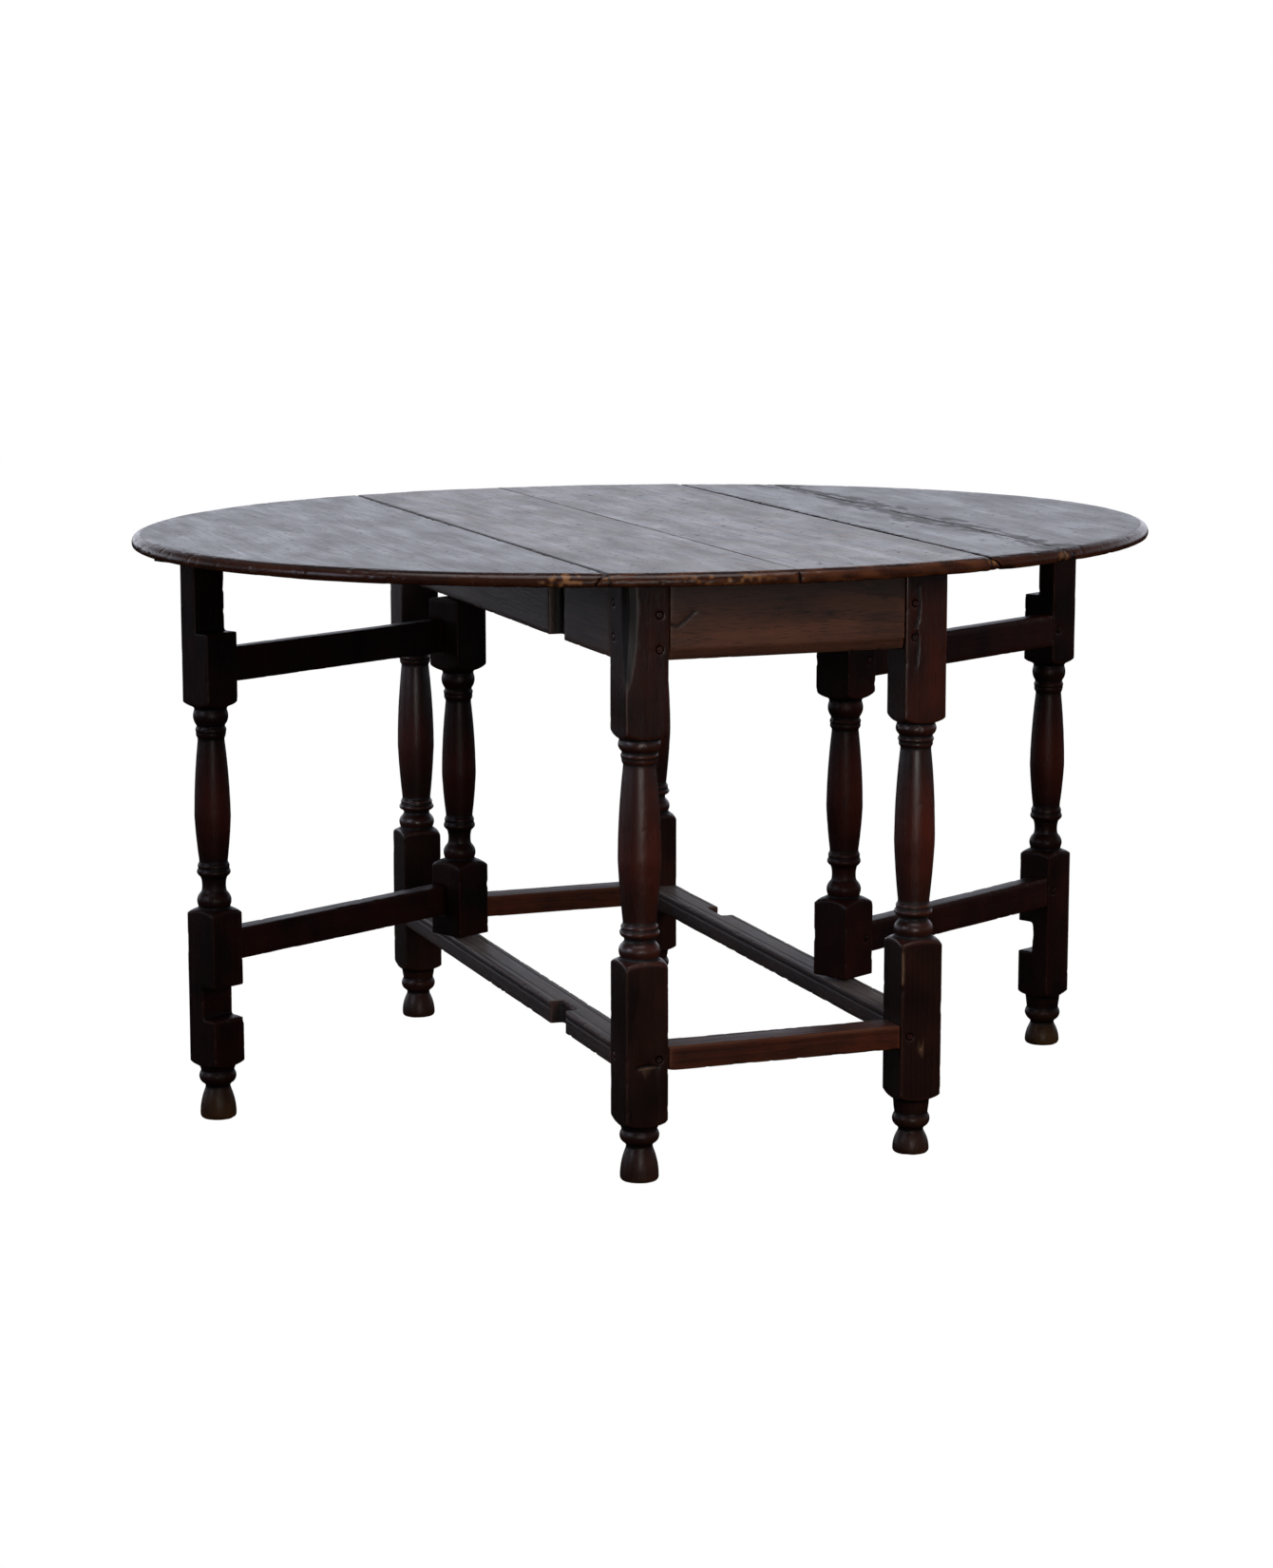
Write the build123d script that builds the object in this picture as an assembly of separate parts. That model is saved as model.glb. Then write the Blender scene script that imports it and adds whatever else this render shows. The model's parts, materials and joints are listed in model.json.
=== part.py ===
from build123d import *
import math
import os

# Gateleg table: an oak frame on four turned legs, two gates that swing out on wooden
# pivots, and an oval top whose two leaves hang on rule joints.
# Millimetres. The origin is on the floor under the middle of the top, +X runs across
# the leaves, +Y along the hinge lines and +Z up. The table looks the same after half a
# turn about Z, so most right-hand pieces are left-hand pieces turned by 180 degrees.

# ---------------------------------------------------------------- driving dimensions
TABLE_HEIGHT = 730.0
TOP_THICKNESS = 17.0
TOP_HALF_LENGTH = 658.0
TOP_HALF_WIDTH = 552.0
HINGE_LINE = 238.5
CENTRE_BOARD_JOINT = -21.0
LEAF_BOARD_JOINT = 362.0

FRAME_HALF_X = 203.0
FRAME_HALF_Y = 470.0
LEG_SQUARE = 54.0
APRON_BOTTOM = 620.0
APRON_THICKNESS = 28.0
BEVEL_HEIGHT = 14.0
BEVEL_DEPTH = 6.0
STRETCHER_BOTTOM = 135.0
STRETCHER_TOP = 165.0
STRETCHER_WIDTH = 40.0

GATE_SQUARE = 50.0
POST_SQUARE = 54.0
GATE_PIVOT = (-190.0, 203.0)
GATE_REACH = 430.0
GATE_OPEN_ANGLE = 63.0
UPPER_RAIL = (549.0, 592.0)
LOWER_RAIL = (196.0, 236.0)
GATE_RAIL_THICKNESS = 25.0

# ---------------------------------------------------------------- joinery and clearances
# OVERCUT is how far a cutting shape runs past what it cuts.
UNDERSIDE = TABLE_HEIGHT - TOP_THICKNESS
TENON_LENGTH = 26.0
TENON_SETBACK = 5.0
APRON_TENON = 10.0
STRETCHER_TENON = 12.0
GATE_TENON = 9.0
OVERCUT = 1.0
PEG_RADIUS = 4.5
PEG_DEPTH = 36.0
PEG_PROUD = 0.6
PEG_INSET = 12.0
APRON_PEG_HEIGHTS = (634.0, 674.0)
SIDE_PEG_RISE = 12.0
STRETCHER_PEG_HEIGHT = 150.0

PIVOT_RADIUS = 8.0
PIVOT_CLEARANCE = 0.05
PIVOT_IN_POST = 24.0
UPPER_PIVOT_RISE = 30.0
LOWER_PIVOT_DROP = 26.0
PIVOT_END_GAP = 2.0
POST_BOTTOM = 168.0
POST_TOP = 619.0
LEAF_GAP = 0.3

LAP_DEPTH = 22.5
UPPER_LAP_BOTTOM = 616.0
LOWER_LAP = (130.0, 170.0)
FRAME_LAP_DEPTH = 16.0
FRAME_LAP_WIDTH = 54.0

OVOLO_RADIUS = 14.0
COVE_GAP = 0.6
RULE_JOINT_GAP = 1.5
EDGE_QUIRK = 1.5
EDGE_INSET = 10.0
EDGE_TOP_RADIUS = 8.5
EDGE_BOTTOM_RADIUS = 4.5

HINGE_Y = 350.0
HINGE_WIDTH = 40.0
STRAP_THICKNESS = 2.5
FIXED_STRAP_REACH = 34.0
MOVING_STRAP_REACH = 62.0
MOVING_STRAP_WIDTH = 28.0
KNUCKLE_RADIUS = 4.0
KNUCKLE_LENGTH = 15.4
KNUCKLE_GAP = 0.3
KNUCKLE_ROOM = 4.5
POCKET_REACH = 16.0
FIXED_NAILS = ((-24.0, -12.0), (-24.0, 12.0))
MOVING_NAILS = ((26.0, -8.0), (26.0, 8.0), (50.0, 0.0))
HINGE_PIN_RADIUS = 1.8
NAIL_RADIUS = 1.3
NAIL_DEPTH = 11.0
NAIL_HEAD_RADIUS = 3.0
NAIL_HEAD = 1.2

STOP_LENGTH = 62.0
STOP_OFFSET = 5.0
STOP_WIDTH = 28.0
STOP_HEIGHT = 12.0
STOP_GAP = 0.6
DOWEL_RADIUS = 4.0
DOWEL_LENGTH = 50.0
CENTRE_DOWELS = (-390.0, -130.0, 130.0, 390.0)
LEAF_DOWELS = (-320.0, 0.0, 320.0)
GLUE_BLOCK = (70.0, 16.0, 20.0)
END_GLUE_BLOCKS = (-75.0, 75.0)
SIDE_GLUE_BLOCKS = (-120.0, 250.0)

# ---------------------------------------------------------------- turned outlines
# Every row is (height, radius, bulge): the bulge is how far the stretch up to the next
# row swells beyond a straight line. A girth under 1 gives a slimmer leg.
BLOCK_CLEAR = 40.0
SHOULDER_BULGE = 2.5
SHOULDER = 9.0
FOOT_TOP = 68.0
RING_LENGTH = 17.0

FRAME_TURNING = [
    (268.0, 24.5, 0.0),
    (269.0, 22.0, 3.8),
    (287.0, 20.5, 0.0),
    (288.5, 18.6, -0.4),
    (293.0, 18.8, 0.0),
    (294.5, 21.5, 3.2),
    (302.5, 21.8, 0.0),
    (303.5, 21.0, 2.0),
    (309.0, 20.6, 0.0),
    (310.5, 20.0, 0.6),
    (386.0, 26.0, 1.5),
    (498.5, 19.4, 0.0),
    (500.0, 20.0, 1.8),
    (505.0, 20.2, 0.0),
    (506.0, 20.8, 2.2),
    (511.5, 21.0, 0.0),
    (513.0, 19.4, 4.2),
    (527.5, 23.6, 0.0),
    (529.0, 24.5, SHOULDER_BULGE),
]

GATE_TURNING = [
    (269.0, 21.5, 0.0),
    (270.0, 19.5, 3.2),
    (288.0, 18.6, 0.0),
    (290.0, 16.2, -1.2),
    (308.5, 17.0, 0.0),
    (310.5, 19.2, 2.8),
    (319.0, 19.4, 0.0),
    (320.0, 19.0, 1.9),
    (326.0, 18.8, 0.0),
    (327.5, 18.2, 0.6),
    (385.0, 23.4, 1.3),
    (483.5, 17.2, 0.0),
    (485.0, 18.2, 1.7),
    (490.5, 18.4, 0.0),
    (491.5, 18.6, 1.8),
    (497.0, 18.8, 0.0),
    (498.5, 17.8, 3.6),
    (520.0, 20.4, 0.0),
    (523.0, 22.5, SHOULDER_BULGE),
]

# Each leg is (side, end, girth, height of the foot's neck): they were turned by hand and differ.
FRAME_LEGS = {
    "leg_front_left": (-1, -1, 1.0, 42.0),
    "leg_front_right": (1, -1, 0.96, 29.0),
    "leg_back_left": (-1, 1, 0.98, 34.0),
    "leg_back_right": (1, 1, 0.99, 36.0),
}
LEFT_GATE = (0.98, 41.0)
RIGHT_GATE = (1.0, 30.0)

BASE = (Align.CENTER, Align.CENTER, Align.MIN)
HALF_TURN = Rot(0, 0, 180)


# ---------------------------------------------------------------- helpers
def revolved(stations):
    """A solid of revolution about Z through stations of (height, radius, bulge)."""
    outline = []
    for (low, low_radius, bulge), (high, high_radius, _) in zip(stations, stations[1:]):
        start = (low_radius, 0, low)
        end = (high_radius, 0, high)
        middle = ((low_radius + high_radius) / 2 + bulge, 0, (low + high) / 2)
        outline.append(ThreePointArc(start, middle, end) if bulge else Line(start, end))
    bottom, bottom_radius, _ = stations[0]
    top, top_radius, _ = stations[-1]
    outline.append(Line((top_radius, 0, top), (0, 0, top)))
    outline.append(Line((0, 0, top), (0, 0, bottom)))
    outline.append(Line((0, 0, bottom), (bottom_radius, 0, bottom)))
    return revolve(make_face(outline), Axis.Z)


def block(low, high):
    """A box from two opposite corners."""
    size = [b - a for a, b in zip(low, high)]
    return Pos(*low) * Box(*size, align=(Align.MIN, Align.MIN, Align.MIN))


def rod(start, axis, radius, length):
    """A round rod that leaves start along axis."""
    return Plane(origin=start, z_dir=axis) * Cylinder(radius, length, align=BASE)


def solids_of(shapes):
    """Loose solids kept side by side as one group."""
    return Compound(children=[solid for shape in shapes for solid in shape.solids()])


def turned_round(shapes):
    """The same shapes on the other side of the table."""
    return [HALF_TURN * shape for shape in shapes]


def thinned(turning, girth):
    """The same turning with every radius multiplied by girth."""
    return [(height, radius * girth, bulge) for height, radius, bulge in turning]


def foot(neck, girth):
    """The turned foot, from the floor to the underside of the lower block."""
    ring = neck + RING_LENGTH / 5
    stations = [
        (0.0, 21.5, 0.0),
        (3.0, 23.6, 2.0),
        (neck - 2.0, 16.6, -0.4),
        (ring - 1.0, 16.6, 0.0),
        (ring, 18.0, 4.6),
        (ring + RING_LENGTH, 21.2, 0.3),
        (FOOT_TOP, 23.4, SHOULDER_BULGE),
        (FOOT_TOP + SHOULDER, BLOCK_CLEAR, 0.0),
    ]
    return thinned(stations[:-1], girth) + stations[-1:]


def turned_post(square, turning, girth, bottom, top):
    """Square block, turned baluster, square block, cut from one square of oak."""
    stations = list(bottom)
    stations.append((turning[0][0] - SHOULDER, BLOCK_CLEAR, SHOULDER_BULGE))
    stations += thinned(turning, girth)
    stations.append((turning[-1][0] + SHOULDER, BLOCK_CLEAR, 0.0))
    stations.append((top, BLOCK_CLEAR, 0.0))
    height = top - stations[0][0]
    blank = Pos(0, 0, stations[0][0]) * Box(square, square, height, align=BASE)
    return blank & revolved(stations)


def tenoned(length, thickness, height, tenon):
    """A rail along X with a tenon at both ends, standing on z = 0."""
    rail = Box(length, thickness, height, align=BASE)
    tongue_height = height - 2 * TENON_SETBACK
    tongue = Box(length + 2 * TENON_LENGTH, tenon, tongue_height, align=BASE)
    return rail + Pos(0, 0, TENON_SETBACK) * tongue


def drilled(shape, pegs):
    """The shape with a hole for each peg that reaches it."""
    for peg in pegs:
        shape = shape - peg
    return shape


# ---------------------------------------------------------------- frame
def frame_rails():
    """Aprons and stretchers, outer faces flush with the legs, lapped for the gates."""
    span_x = 2 * (FRAME_HALF_X - LEG_SQUARE)
    span_y = 2 * (FRAME_HALF_Y - LEG_SQUARE)
    apron_height = UNDERSIDE - APRON_BOTTOM
    stretcher_height = STRETCHER_TOP - STRETCHER_BOTTOM

    end_apron = tenoned(span_x, APRON_THICKNESS, apron_height, APRON_TENON) - apron_bevel(span_x)
    end_stretcher = tenoned(span_x, STRETCHER_WIDTH, stretcher_height, STRETCHER_TENON)
    side_apron = tenoned(span_y, APRON_THICKNESS, apron_height, APRON_TENON)
    side_stretcher = tenoned(span_y, STRETCHER_WIDTH, stretcher_height, STRETCHER_TENON)

    apron_y = FRAME_HALF_Y - APRON_THICKNESS / 2
    apron_x = FRAME_HALF_X - APRON_THICKNESS / 2
    stretcher_y = FRAME_HALF_Y - STRETCHER_WIDTH / 2
    stretcher_x = FRAME_HALF_X - STRETCHER_WIDTH / 2
    rails = {
        "apron_front": Pos(0, -apron_y, APRON_BOTTOM) * end_apron,
        "stretcher_front": Pos(0, -stretcher_y, STRETCHER_BOTTOM) * end_stretcher,
        "apron_left": Pos(-apron_x, 0, APRON_BOTTOM) * Rot(0, 0, -90) * side_apron,
        "stretcher_left": Pos(-stretcher_x, 0, STRETCHER_BOTTOM) * Rot(0, 0, -90) * side_stretcher,
    }
    for name in ("apron_left", "stretcher_left"):
        rails[name] = rails[name] - gate_lap() - pivot_holes()
    for left, right in (("apron_left", "apron_right"), ("stretcher_left", "stretcher_right"),
                        ("apron_front", "apron_back"), ("stretcher_front", "stretcher_back")):
        rails[right] = HALF_TURN * rails[left]
    return rails


def apron_bevel(span):
    """The wedge planed off the lower outer edge of an end apron."""
    face = -APRON_THICKNESS / 2
    corner = (0, face, 0)
    wedge = make_face(Polyline(corner, (0, face + BEVEL_DEPTH, 0), (0, face, BEVEL_HEIGHT), corner))
    return extrude(wedge, span / 2, dir=(1, 0, 0), both=True)


def gate_lap():
    """The notch in a side rail that takes the closed gate's leg."""
    middle = GATE_PIVOT[1] - GATE_REACH
    low = (-FRAME_HALF_X - OVERCUT, middle - FRAME_LAP_WIDTH / 2, STRETCHER_BOTTOM - OVERCUT)
    high = (-FRAME_HALF_X + FRAME_LAP_DEPTH, middle + FRAME_LAP_WIDTH / 2, UNDERSIDE + OVERCUT)
    return block(low, high)


def pivot_holes():
    """Holes for the left gate's wooden pivots, up into the apron and down into the stretcher."""
    hole_radius = PIVOT_RADIUS + PIVOT_CLEARANCE
    upper_depth = UPPER_PIVOT_RISE + PIVOT_END_GAP
    lower_depth = LOWER_PIVOT_DROP + PIVOT_END_GAP
    upper = rod((*GATE_PIVOT, POST_TOP), (0, 0, 1), hole_radius, upper_depth)
    lower = rod((*GATE_PIVOT, POST_BOTTOM), (0, 0, -1), hole_radius, lower_depth)
    return upper + lower


def frame_pegs():
    """Pegs across the tenons: two through each apron joint, one through each stretcher joint."""
    apron_pegs = []
    stretcher_pegs = []
    face_x = FRAME_HALF_X + PEG_PROUD
    face_y = FRAME_HALF_Y + PEG_PROUD
    peg_x = FRAME_HALF_X - LEG_SQUARE + PEG_INSET
    peg_y = FRAME_HALF_Y - LEG_SQUARE + PEG_INSET
    joints = [(apron_pegs, height, SIDE_PEG_RISE) for height in APRON_PEG_HEIGHTS]
    joints.append((stretcher_pegs, STRETCHER_PEG_HEIGHT, 0.0))
    for side, end in ((-1, -1), (-1, 1), (1, -1), (1, 1)):
        for pegs, height, side_rise in joints:
            end_face = (side * peg_x, end * face_y, height)
            side_face = (side * face_x, end * peg_y, height + side_rise)
            pegs.append(rod(end_face, (0, -end, 0), PEG_RADIUS, PEG_DEPTH))
            pegs.append(rod(side_face, (-side, 0, 0), PEG_RADIUS, PEG_DEPTH))
    return apron_pegs, stretcher_pegs


def build_frame():
    """Legs mortised by the rails' tenons, rails drilled for the pegs."""
    rails = frame_rails()
    apron_pegs, stretcher_pegs = frame_pegs()
    pegs = apron_pegs + stretcher_pegs
    parts = {}
    for name, (side, end, girth, foot_neck) in FRAME_LEGS.items():
        x = side * (FRAME_HALF_X - LEG_SQUARE / 2)
        y = end * (FRAME_HALF_Y - LEG_SQUARE / 2)
        leg = turned_post(LEG_SQUARE, FRAME_TURNING, girth, foot(foot_neck, girth), UNDERSIDE)
        parts[name] = drilled(Pos(x, y, 0) * leg, list(rails.values()) + pegs)
    for name, rail in rails.items():
        parts[name] = drilled(rail, pegs)
    parts["apron_pegs"] = solids_of(apron_pegs)
    parts["stretcher_pegs"] = solids_of(stretcher_pegs)
    parts["glue_blocks"] = glue_blocks()
    return parts


def glue_blocks():
    """Oak blocks glued in the angle of apron and top, two inside each apron."""
    length, depth, height = GLUE_BLOCK
    inner_x = -FRAME_HALF_X + APRON_THICKNESS + depth / 2
    inner_y = -FRAME_HALF_Y + APRON_THICKNESS + depth / 2
    low = UNDERSIDE - height
    blocks = [Pos(x, inner_y, low) * Box(length, depth, height, align=BASE) for x in END_GLUE_BLOCKS]
    blocks += [Pos(inner_x, y, low) * Box(depth, length, height, align=BASE) for y in SIDE_GLUE_BLOCKS]
    return solids_of(blocks + turned_round(blocks))


# ---------------------------------------------------------------- gates
def gate_placement():
    """Where the left gate stands when it is swung out under its leaf."""
    return Pos(*GATE_PIVOT, 0) * Rot(0, 0, -90 - GATE_OPEN_ANGLE)


def gate_rail(low, high):
    """A rail between post and outer leg, flush with the gate's outer face."""
    length = GATE_REACH - GATE_SQUARE
    rail = tenoned(length, GATE_RAIL_THICKNESS, high - low, GATE_TENON)
    return Pos(GATE_REACH / 2, -GATE_RAIL_THICKNESS / 2, low) * rail


def gate_laps():
    """What is cut from the inner face of the outer leg to clear the apron and the stretcher."""
    inner = GATE_SQUARE / 2
    near = GATE_REACH - inner - OVERCUT
    far = GATE_REACH + inner + OVERCUT
    upper = block((near, inner - LAP_DEPTH, UPPER_LAP_BOTTOM), (far, inner + OVERCUT, UNDERSIDE + OVERCUT))
    lower = block((near, inner - LAP_DEPTH, LOWER_LAP[0]), (far, inner + OVERCUT, LOWER_LAP[1]))
    return upper + lower


def gate_pegs():
    """One peg across each of the four tenons."""
    pegs = []
    for low, high in (UPPER_RAIL, LOWER_RAIL):
        in_post = (GATE_SQUARE / 2 - PEG_INSET, POST_SQUARE / 2)
        in_leg = (GATE_REACH - GATE_SQUARE / 2 + PEG_INSET, GATE_SQUARE / 2)
        for x, face in (in_post, in_leg):
            start = (x, -face - PEG_PROUD, (low + high) / 2)
            pegs.append(rod(start, (0, 1, 0), PEG_RADIUS, PEG_DEPTH))
    return pegs


def build_gate(girth, foot_neck):
    """A gate in its own axes: pivot on Z, rails along +X, inner face towards +Y."""
    upper_rail = gate_rail(*UPPER_RAIL)
    lower_rail = gate_rail(*LOWER_RAIL)
    pegs = gate_pegs()
    upper_foot = (0, 0, POST_TOP - PIVOT_IN_POST)
    lower_head = (0, 0, POST_BOTTOM + PIVOT_IN_POST)
    upper_pin = rod(upper_foot, (0, 0, 1), PIVOT_RADIUS, PIVOT_IN_POST + UPPER_PIVOT_RISE)
    lower_pin = rod(lower_head, (0, 0, -1), PIVOT_RADIUS, PIVOT_IN_POST + LOWER_PIVOT_DROP)
    post = turned_post(POST_SQUARE, GATE_TURNING, girth, [(POST_BOTTOM, BLOCK_CLEAR, 0.0)], POST_TOP)
    leg = turned_post(GATE_SQUARE, GATE_TURNING, girth, foot(foot_neck, girth), UNDERSIDE - LEAF_GAP)
    leg = Pos(GATE_REACH, 0, 0) * leg - gate_laps()
    return {
        "post": drilled(post, [upper_rail, lower_rail, upper_pin, lower_pin] + pegs),
        "leg": drilled(leg, [upper_rail, lower_rail] + pegs),
        "upper_rail": drilled(upper_rail, pegs),
        "lower_rail": drilled(lower_rail, pegs),
        "pegs": solids_of(pegs),
        "upper_pivot": upper_pin,
        "lower_pivot": lower_pin,
    }


def build_gates():
    """The left gate, and the right gate as the same pattern turned half round."""
    parts = {}
    left = gate_placement()
    right = HALF_TURN * left
    for name, shape in build_gate(*LEFT_GATE).items():
        parts["gate_left_" + name] = left * shape
    for name, shape in build_gate(*RIGHT_GATE).items():
        parts["gate_right_" + name] = right * shape
    return parts


# ---------------------------------------------------------------- top
def oval_top():
    """The whole oval with a quirk and a thumb moulding run round its edge."""
    lower_thickness = TOP_THICKNESS - EDGE_QUIRK
    lower = extrude(Ellipse(TOP_HALF_LENGTH, TOP_HALF_WIDTH), lower_thickness)
    rims = lower.edges().sort_by(Axis.Z)
    lower = fillet(rims[-1], EDGE_TOP_RADIUS)
    lower = fillet(lower.edges().group_by(Axis.Z)[0], EDGE_BOTTOM_RADIUS)
    upper = extrude(Ellipse(TOP_HALF_LENGTH - EDGE_INSET, TOP_HALF_WIDTH - EDGE_INSET), TOP_THICKNESS)
    return Pos(0, 0, UNDERSIDE) * (lower + upper)


def centre_slab():
    """The space of the fixed centre: straight above, an ovolo either side below."""
    top = TABLE_HEIGHT + OVERCUT
    bottom = UNDERSIDE - OVERCUT
    shoulder = UNDERSIDE + OVOLO_RADIUS
    nose = HINGE_LINE + OVOLO_RADIUS
    bow = OVOLO_RADIUS * math.sqrt(0.5)
    outline = []
    for side in (-1, 1):
        arc_middle = (side * (HINGE_LINE + bow), 0, UNDERSIDE + bow)
        outline.append(Line((0, 0, top), (side * HINGE_LINE, 0, top)))
        outline.append(Line((side * HINGE_LINE, 0, top), (side * HINGE_LINE, 0, shoulder)))
        arc_start = (side * HINGE_LINE, 0, shoulder)
        outline.append(ThreePointArc(arc_start, arc_middle, (side * nose, 0, UNDERSIDE)))
        outline.append(Line((side * nose, 0, UNDERSIDE), (side * nose, 0, bottom)))
        outline.append(Line((side * nose, 0, bottom), (0, 0, bottom)))
    return extrude(make_face(outline), TOP_HALF_WIDTH + OVERCUT, both=True)


def leaf_slab():
    """The space of the right leaf: beyond the gap, with a cove that rolls over the ovolo."""
    top = TABLE_HEIGHT + OVERCUT
    bottom = UNDERSIDE - OVERCUT
    far = TOP_HALF_LENGTH + OVERCUT
    lip = HINGE_LINE + RULE_JOINT_GAP
    radius = OVOLO_RADIUS + COVE_GAP
    lip_height = UNDERSIDE + math.sqrt(radius**2 - RULE_JOINT_GAP**2)
    bow = radius * math.sqrt(0.5)
    arc_middle = (HINGE_LINE + bow, 0, UNDERSIDE + bow)
    cove_foot = (HINGE_LINE + radius, 0, UNDERSIDE)
    below_foot = (HINGE_LINE + radius, 0, bottom)
    outline = [
        Line((lip, 0, top), (lip, 0, lip_height)),
        ThreePointArc((lip, 0, lip_height), arc_middle, cove_foot),
        Polyline(cove_foot, below_foot, (far, 0, bottom), (far, 0, top), (lip, 0, top)),
    ]
    return extrude(make_face(outline), TOP_HALF_WIDTH + OVERCUT, both=True)


def half_space(x, side):
    """Everything on one side of the plane at x, big enough to hold the top."""
    reach = 2 * TOP_HALF_LENGTH
    low, high = sorted((x, x + side * reach))
    return block((low, -reach, UNDERSIDE - OVERCUT), (high, reach, TABLE_HEIGHT + OVERCUT))


def joint_dowels(x, positions):
    """Dowels across the glued edge joint at x."""
    start = x - DOWEL_LENGTH / 2
    height = UNDERSIDE + TOP_THICKNESS / 2
    return [rod((start, y, height), (1, 0, 0), DOWEL_RADIUS, DOWEL_LENGTH) for y in positions]


def leaf_stop():
    """The cleat under the left leaf that the open gate's leg comes to rest against."""
    near = GATE_REACH - GATE_SQUARE / 2 + STOP_OFFSET
    edge = -GATE_SQUARE / 2 - STOP_GAP
    low = (near, edge - STOP_WIDTH, UNDERSIDE - STOP_HEIGHT)
    return gate_placement() * block(low, (near + STOP_LENGTH, edge, UNDERSIDE))


def strap(y, near, far, width):
    """A flat bar under the top at the right hinge line, from near to far across the leaf."""
    low = (HINGE_LINE + near, y - width / 2, UNDERSIDE - STRAP_THICKNESS)
    high = (HINGE_LINE + far, y + width / 2, UNDERSIDE)
    return block(low, high)


def knuckle_zone(y, near, width):
    """Room round the hinge axis, deep enough to trim knuckles with."""
    depth = 2 * KNUCKLE_RADIUS
    low = (HINGE_LINE + near, y - width / 2, UNDERSIDE - depth)
    high = (HINGE_LINE + depth, y + width / 2, UNDERSIDE + depth)
    return block(low, high)


def hinge_rod(y, radius):
    """A rod along the hinge axis, as long as the hinge is wide."""
    return rod((HINGE_LINE, y - HINGE_WIDTH / 2, UNDERSIDE), (0, 1, 0), radius, HINGE_WIDTH)


def fixed_strap(y):
    """The strap on the centre board, with a knuckle at either end of the pin."""
    plate = strap(y, -FIXED_STRAP_REACH, 0, HINGE_WIDTH)
    slot = knuckle_zone(y, -KNUCKLE_ROOM, KNUCKLE_LENGTH + 2 * KNUCKLE_GAP)
    return plate + hinge_rod(y, KNUCKLE_RADIUS) - slot - hinge_rod(y, HINGE_PIN_RADIUS)


def moving_strap(y):
    """The strap on the leaf, with one knuckle that turns on the pin."""
    plate = strap(y, KNUCKLE_ROOM, MOVING_STRAP_REACH, MOVING_STRAP_WIDTH)
    root = strap(y, 0, KNUCKLE_ROOM, KNUCKLE_LENGTH)
    knuckle = hinge_rod(y, KNUCKLE_RADIUS) & knuckle_zone(y, -2 * KNUCKLE_RADIUS, KNUCKLE_LENGTH)
    return plate + root + knuckle - hinge_rod(y, HINGE_PIN_RADIUS + PIVOT_CLEARANCE)


def hinge_pocket(y):
    """The recess in the underside of the centre board that the knuckles turn in."""
    half = HINGE_WIDTH / 2 + KNUCKLE_GAP
    low = (HINGE_LINE - KNUCKLE_ROOM, y - half, UNDERSIDE - OVERCUT)
    high = (HINGE_LINE + POCKET_REACH, y + half, UNDERSIDE + KNUCKLE_ROOM)
    return block(low, high)


def hinge_nails(y, offsets):
    """Wrought nails driven up through a strap."""
    face = UNDERSIDE - STRAP_THICKNESS
    nails = []
    for across, along in offsets:
        x = HINGE_LINE + across
        shank = rod((x, y + along, face), (0, 0, 1), NAIL_RADIUS, NAIL_DEPTH + STRAP_THICKNESS)
        head = rod((x, y + along, face - NAIL_HEAD), (0, 0, 1), NAIL_HEAD_RADIUS, NAIL_HEAD)
        nails.append(shank + head)
    return nails


def build_hinges():
    """Four iron strap hinges, two on each hinge line, without their nails."""
    parts = {}
    for y, end, other_end in ((-HINGE_Y, "front", "back"), (HINGE_Y, "back", "front")):
        pieces = {
            "fixed": drilled(fixed_strap(y), hinge_nails(y, FIXED_NAILS)),
            "moving": drilled(moving_strap(y), hinge_nails(y, MOVING_NAILS)),
            "pin": hinge_rod(y, HINGE_PIN_RADIUS),
        }
        for piece, shape in pieces.items():
            parts[f"hinge_right_{end}_{piece}"] = shape
            parts[f"hinge_left_{other_end}_{piece}"] = HALF_TURN * shape
    return parts


def build_centre():
    """The two fixed boards, doweled together and pocketed for the hinges."""
    pockets = [hinge_pocket(y) for y in (-HINGE_Y, HINGE_Y)]
    nails = [nail for y in (-HINGE_Y, HINGE_Y) for nail in hinge_nails(y, FIXED_NAILS)]
    nails += turned_round(nails)
    dowels = joint_dowels(CENTRE_BOARD_JOINT, CENTRE_DOWELS)
    centre = drilled(oval_top() & centre_slab(), pockets + turned_round(pockets) + dowels + nails)
    return {
        "centre_board_left": centre & half_space(CENTRE_BOARD_JOINT, -1),
        "centre_board_right": centre & half_space(CENTRE_BOARD_JOINT, 1),
        "centre_board_dowels": solids_of(dowels),
        "hinge_nails_centre": solids_of(nails),
    }


def build_leaves():
    """The left leaf of one board, the right leaf of two, and the stops under them."""
    nails = [nail for y in (-HINGE_Y, HINGE_Y) for nail in hinge_nails(y, MOVING_NAILS)]
    dowels = joint_dowels(LEAF_BOARD_JOINT, LEAF_DOWELS)
    leaf = drilled(oval_top() & leaf_slab(), nails)
    right_leaf = drilled(leaf, dowels)
    return {
        "leaf_left_board": HALF_TURN * leaf,
        "leaf_left_stop": leaf_stop(),
        "leaf_right_inner_board": right_leaf & half_space(LEAF_BOARD_JOINT, -1),
        "leaf_right_outer_board": right_leaf & half_space(LEAF_BOARD_JOINT, 1),
        "leaf_right_dowels": solids_of(dowels),
        "leaf_right_stop": HALF_TURN * leaf_stop(),
        "hinge_nails_left_leaf": solids_of(turned_round(nails)),
        "hinge_nails_right_leaf": solids_of(nails),
    }


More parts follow.
